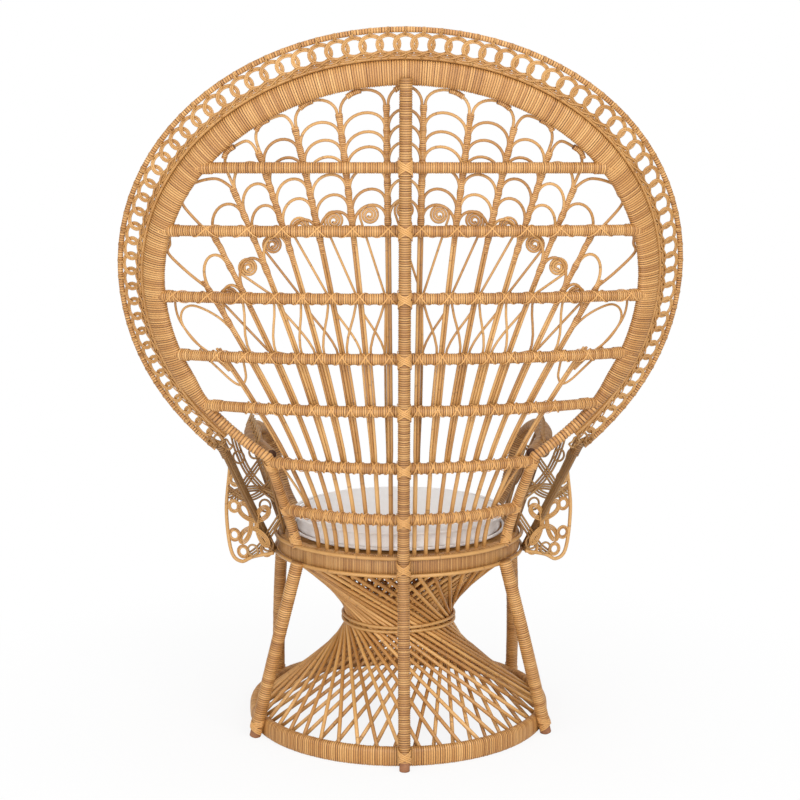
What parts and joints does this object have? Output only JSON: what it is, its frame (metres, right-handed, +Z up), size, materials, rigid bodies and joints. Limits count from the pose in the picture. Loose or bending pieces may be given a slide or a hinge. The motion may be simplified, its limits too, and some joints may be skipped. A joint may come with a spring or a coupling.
{
  "type": "peacock chair",
  "caption": "Rattan peacock chair with a tall round fan back, openwork border, rolled arms, hourglass base and a loose round seat cushion.",
  "frame": {"origin": "centre of the bounding box on the floor", "axes": "+Z up; the sitter faces -Y; +X is the sitter's left"},
  "size_m": [1.129, 0.73, 1.451],
  "materials": {
    "wrapped_pole": "rattan pole bound closely with flat peeled cane, clear varnish",
    "bent_cane": "bare bent rattan cane, clear varnish",
    "cushion_cloth": "plain woven off-white cotton cover with piped edges"
  },
  "bodies": {
    "chair": {"arm_flower_left": "bent_cane", "arm_flower_right": "bent_cane", "arm_lattice_left": "bent_cane", "arm_lattice_right": "bent_cane", "arm_rail_left": "wrapped_pole", "arm_rail_right": "wrapped_pole", "arm_rim_left": "bent_cane", "arm_rim_right": "bent_cane", "back_hoop": "wrapped_pole", "back_post_left": "wrapped_pole", "back_post_right": "wrapped_pole", "base_ring": "wrapped_pole", "border_inner_rod": "bent_cane", "border_outer_rod": "wrapped_pole", "border_ring_chain": "bent_cane", "border_tail_left": "wrapped_pole", "border_tail_right": "wrapped_pole", "cage_inner_panel_1": "bent_cane", "cage_inner_panel_2": "bent_cane", "cage_inner_panel_3": "bent_cane", "cage_outer_panel_1": "bent_cane", "cage_outer_panel_2": "bent_cane", "cage_outer_panel_3": "bent_cane", "fan_left_1": "bent_cane", "fan_left_2": "bent_cane", "fan_left_3": "bent_cane", "fan_left_4": "bent_cane", "fan_left_5": "bent_cane", "fan_left_6": "bent_cane", "fan_left_7": "bent_cane", "fan_left_8": "bent_cane", "fan_right_1": "bent_cane", "fan_right_2": "bent_cane", "fan_right_3": "bent_cane", "fan_right_4": "bent_cane", "fan_right_5": "bent_cane", "fan_right_6": "bent_cane", "fan_right_7": "bent_cane", "fan_right_8": "bent_cane", "front_leg_left": "wrapped_pole", "front_leg_right": "wrapped_pole", "rail_1": "wrapped_pole", "rail_2": "wrapped_pole", "rail_3": "wrapped_pole", "rail_4": "wrapped_pole", "rail_5": "wrapped_pole", "rail_6": "wrapped_pole", "rail_7": "wrapped_pole", "rear_leg_left": "wrapped_pole", "rear_leg_right": "wrapped_pole", "seat_bar_front": "bent_cane", "seat_bar_rear": "bent_cane", "seat_bead_lower": "bent_cane", "seat_bead_upper": "bent_cane", "seat_deck": "bent_cane", "seat_ring": "wrapped_pole", "spine_post": "wrapped_pole", "waist_band_lower": "bent_cane", "waist_band_upper": "bent_cane"},
    "cushion": {"seat_cushion": "cushion_cloth"}
  },
  "joints": [
    {"name": "cushion_lift", "type": "slide", "parent": "chair", "child": "cushion", "axis": [0, 0, 1], "range_m": [0, 0.25]}
  ]
}
